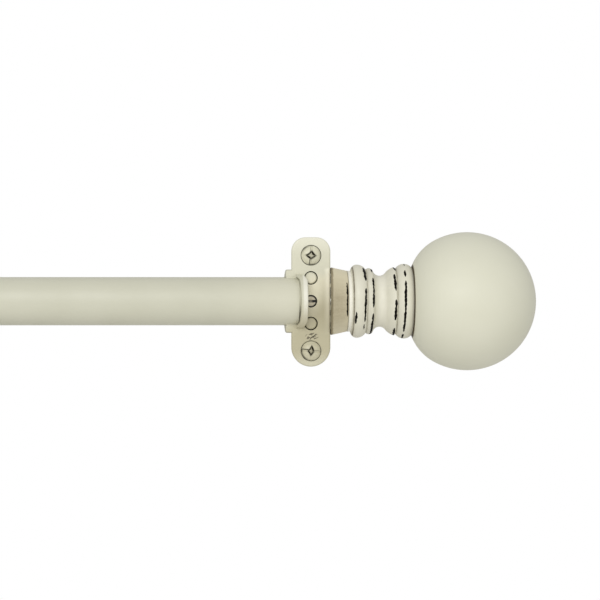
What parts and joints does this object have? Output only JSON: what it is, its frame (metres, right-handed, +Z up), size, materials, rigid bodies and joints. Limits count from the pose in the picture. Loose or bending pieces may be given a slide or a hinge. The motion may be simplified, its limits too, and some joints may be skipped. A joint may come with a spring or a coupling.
{
  "type": "wraparound curtain rod",
  "caption": "Telescoping curtain rod with corner brackets, straight returns to the wall and turned ball finials, painted ivory with a distressed finish.",
  "frame": {"origin": "centre of the right wall plug's face, where it meets the wall", "axes": "+X along the front rod towards the right-hand finial, +Y into the wall, +Z up"},
  "size_m": [0.8898, 0.1033, 0.0546],
  "materials": {
    "ivory_casting": "satin",
    "ivory_tube": "satin",
    "ivory_resin": "satin",
    "screw_zinc": "satin",
    "wall_plug_steel": "satin",
    "nylon": "matte"
  },
  "bodies": {
    "right_half": {"corner_block_right": "ivory_casting", "clamp_screws_right": "screw_zinc", "locating_pins_right": "ivory_casting", "centre_screw_right": "screw_zinc", "rod_set_screw_right": "screw_zinc", "rod_plug_right": "nylon", "return_flange_right": "ivory_casting", "return_tube_right": "ivory_tube", "wall_plug_right": "wall_plug_steel", "return_set_screw_right": "screw_zinc", "finial_stud_right": "screw_zinc", "finial_collar_right": "ivory_casting", "finial_neck_right": "ivory_resin", "finial_ball_right": "ivory_resin", "outer_tube": "ivory_tube", "mouth_bush": "nylon"},
    "left_half": {"corner_block_left": "ivory_casting", "clamp_screws_left": "screw_zinc", "locating_pins_left": "ivory_casting", "centre_screw_left": "screw_zinc", "rod_set_screw_left": "screw_zinc", "rod_plug_left": "nylon", "return_flange_left": "ivory_casting", "return_tube_left": "ivory_tube", "wall_plug_left": "wall_plug_steel", "return_set_screw_left": "screw_zinc", "finial_stud_left": "screw_zinc", "finial_collar_left": "ivory_casting", "finial_neck_left": "ivory_resin", "finial_ball_left": "ivory_resin", "inner_tube": "ivory_tube", "inner_glide": "nylon", "end_sleeve": "ivory_tube"}
  },
  "joints": [
    {"name": "telescope", "type": "slide", "parent": "right_half", "child": "left_half", "axis": [-1, 0, 0], "range_m": [0, 0.508]}
  ]
}
